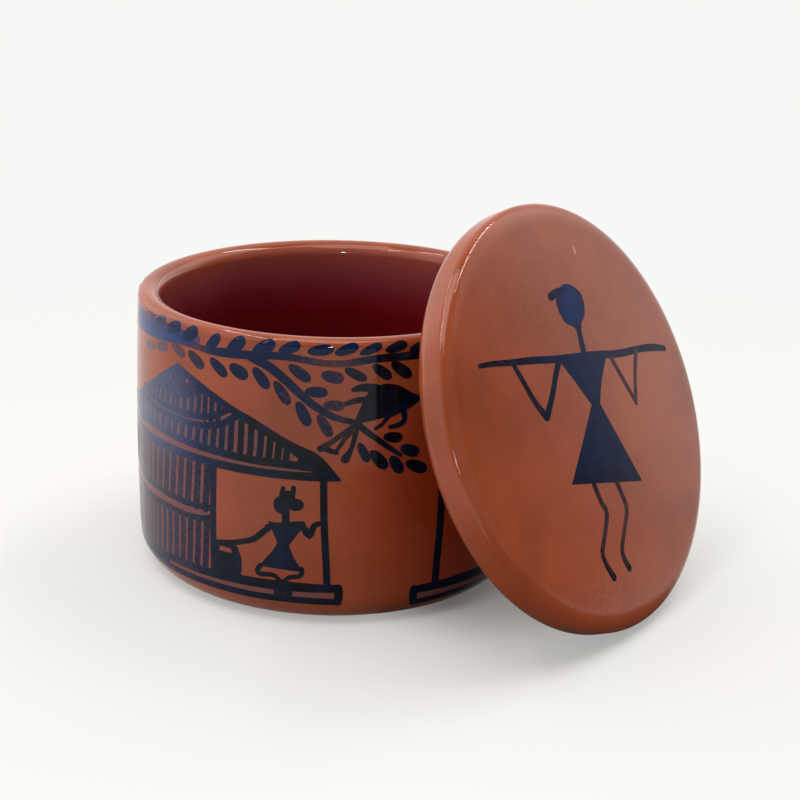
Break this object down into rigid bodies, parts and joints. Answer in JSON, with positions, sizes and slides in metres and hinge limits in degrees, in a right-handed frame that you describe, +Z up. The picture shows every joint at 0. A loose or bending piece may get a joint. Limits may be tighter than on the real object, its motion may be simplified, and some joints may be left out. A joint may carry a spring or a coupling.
{
  "type": "ceramic storage box",
  "caption": "Round glazed terracotta storage box with a brush-painted wall, its thick flat lid off and leaning on the rim, with a locating ring under the lid.",
  "frame": {"origin": "centre of the pot's flat base, on the surface it stands on", "axes": "+Z up along the pot's own axis; -Y the painted front of the pot; +X to the right of someone who faces it, the side where the lid leans"},
  "size_m": [0.1447, 0.1283, 0.0947],
  "materials": {
    "glazed_terracotta": "clear glossy glaze over orange-brown terracotta",
    "liner_glaze": "glossy dark maroon glaze inside the pot",
    "bare_clay": "unglazed matt terracotta where the pot and lid stood in the kiln",
    "brush_pigment": "blue-black brushwork under the clear glaze"
  },
  "bodies": {
    "pot": {"box_body": "glazed_terracotta"},
    "loose_lid": {"lid": "glazed_terracotta"}
  },
  "joints": [
    {"name": "lid_lift", "type": "slide", "parent": "pot", "child": "loose_lid", "axis": [0, 0, 1], "range_m": [0, 0.12]}
  ]
}
